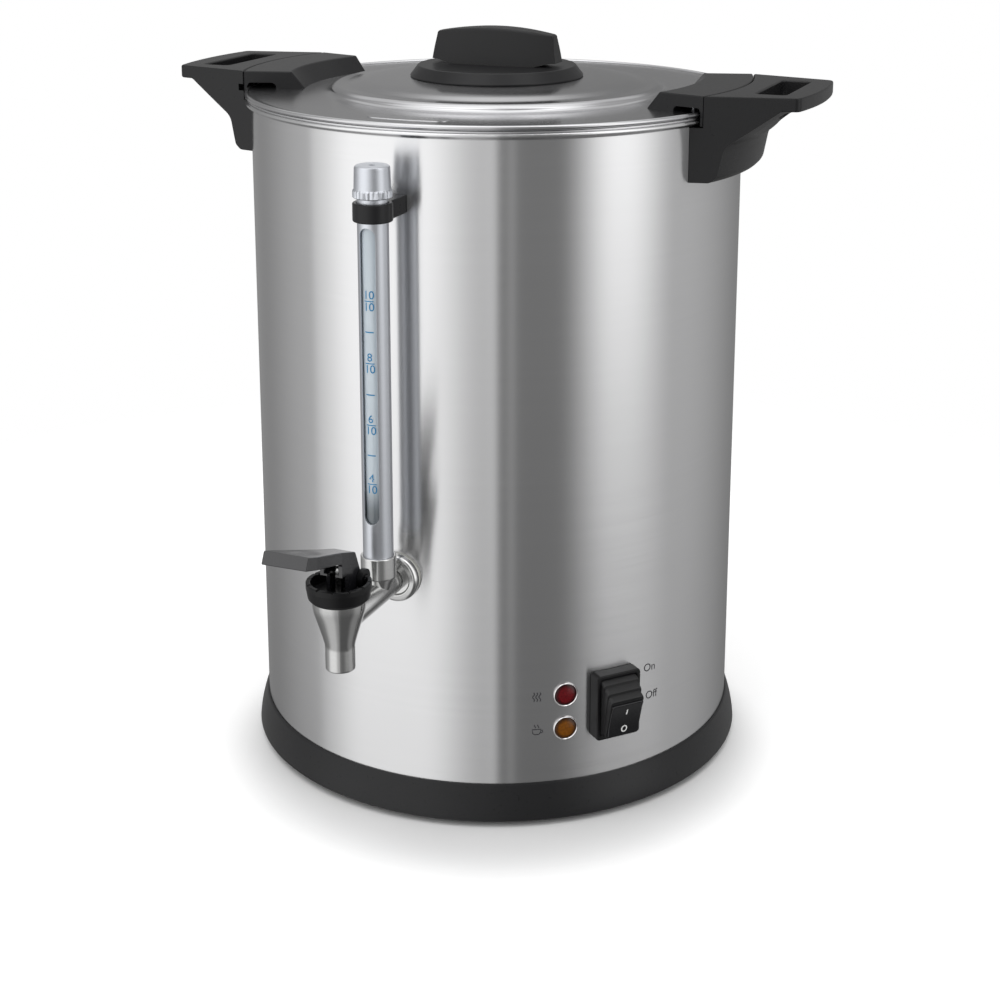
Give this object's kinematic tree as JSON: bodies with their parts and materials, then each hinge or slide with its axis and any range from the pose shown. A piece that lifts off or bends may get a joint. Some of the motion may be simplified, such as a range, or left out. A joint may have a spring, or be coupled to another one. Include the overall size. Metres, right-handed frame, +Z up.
{
  "type": "coffee_urn",
  "caption": "Tall round steel coffee urn with a lift-off lid, side handles, a sight gauge, a lift-lever tap, a rocker switch and pilot lamps.",
  "frame": {"origin": "On the axis of the round body, in the plane of the feet's undersides.", "axes": "+Z up along the body's axis; the tap faces -Y; the handles lie along X."},
  "size_m": [0.379, 0.4106, 0.4219],
  "materials": {
    "brushed_body": "brushed around the body",
    "lid_steel": "polished",
    "tank_steel": "satin",
    "plain_steel": "plain",
    "tap_chrome": "polished",
    "gauge_chrome": "polished",
    "lamp_chrome": "polished",
    "black_plastic": "fine satin grain",
    "lever_plastic": "satin",
    "knob_plastic": "satin",
    "switch_plastic": "semi-gloss",
    "rocker_plastic": "semi-gloss",
    "foot_rubber": "matt",
    "silicone": "matt",
    "gauge_glass": "clear",
    "red_lens_plastic": "clear gloss",
    "amber_lens_plastic": "clear gloss",
    "cast_aluminium": "as cast",
    "element_sheath": "heat-tinted",
    "cream_bakelite": "matt",
    "dark_bakelite": "matt",
    "white_nylon": "satin",
    "contact_brass": "bright"
  },
  "bodies": {
    "urn": {"body_shell": "brushed_body", "inner_tank": "tank_steel", "base_ring": "black_plastic", "bottom_plate": "plain_steel", "rubber_feet": "foot_rubber", "foot_screws": "plain_steel", "heat_spreader": "cast_aluminium", "heating_element": "element_sheath", "thermostat": "cream_bakelite", "boil_dry_cutout": "dark_bakelite", "terminal_block": "white_nylon", "mains_inlet": "black_plastic", "inlet_pins": "contact_brass", "handle_left": "black_plastic", "handle_right": "black_plastic", "handle_screws": "plain_steel", "switch_bezel": "black_plastic", "switch_boot": "switch_plastic", "switch_housing": "dark_bakelite", "lamp_bezels": "lamp_chrome", "red_lens": "red_lens_plastic", "amber_lens": "amber_lens_plastic", "lamp_bodies": "white_nylon", "tap_body": "tap_chrome", "tap_gaskets": "silicone", "tap_spacer": "plain_steel", "tap_nut": "plain_steel", "bonnet_seal": "silicone", "tap_bonnet": "black_plastic", "pivot_pin": "plain_steel", "sight_sleeve": "gauge_chrome", "sight_glass": "gauge_glass", "gauge_seals": "silicone", "gauge_clamp": "black_plastic", "clamp_screw": "plain_steel"},
    "lid": {"lid_pan": "lid_steel", "lid_wing_left": "black_plastic", "lid_wing_right": "black_plastic", "wing_screws": "plain_steel", "knob_collar": "knob_plastic", "knob_bar": "knob_plastic", "knob_screw": "plain_steel"},
    "insert": {"pump_foot": "tank_steel", "riser_tube": "tank_steel", "filter_basket": "tank_steel"},
    "basket_cover_body": {"basket_cover": "tank_steel"},
    "tap_lever": {"lever": "lever_plastic"},
    "tap_stem": {"valve_stem": "tap_chrome", "seat_plug": "silicone", "valve_spring": "plain_steel"},
    "switch_rocker": {"rocker": "rocker_plastic"},
    "gauge_cap": {"sight_cap": "gauge_chrome"}
  },
  "joints": [
    {"name": "insert_lift", "type": "slide", "parent": "urn", "child": "insert", "axis": [0, 0, 1], "range_m": [0, 0.28]},
    {"name": "cover_lift", "type": "slide", "parent": "insert", "child": "basket_cover_body", "axis": [0, 0, 1], "range_m": [0, 0.06]},
    {"name": "lid_lift", "type": "slide", "parent": "basket_cover_body", "child": "lid", "axis": [0, 0, 1], "range_m": [0, 0.15]},
    {"name": "tap_lever_hinge", "type": "hinge", "parent": "urn", "child": "tap_lever", "pos_m": [0, -0.197, 0.1633], "axis": [-1, 0, 0], "range_deg": [0, 25], "stiffness_Nm_per_rad": 0.2, "springref_deg": -28.65},
    {"name": "tap_stem_slide", "type": "slide", "parent": "urn", "child": "tap_stem", "axis": [0, 0, 1], "range_m": [0, 0.00685], "stiffness_N_per_m": 0.5, "springref_m": 0.2553, "deforming": ["valve_spring"]},
    {"name": "rocker_hinge", "type": "hinge", "parent": "urn", "child": "switch_rocker", "pos_m": [0.10295, -0.08886, 0.0666], "axis": [-0.6534, -0.757, 0], "range_deg": [0, 30]},
    {"name": "gauge_cap_lift", "type": "slide", "parent": "urn", "child": "gauge_cap", "axis": [0, 0, 1], "range_m": [0, 0.03]}
  ],
  "couplings": [
    {"joint": "tap_stem_slide", "follows": "tap_lever_hinge", "m_per_rad": 0.01552}
  ]
}
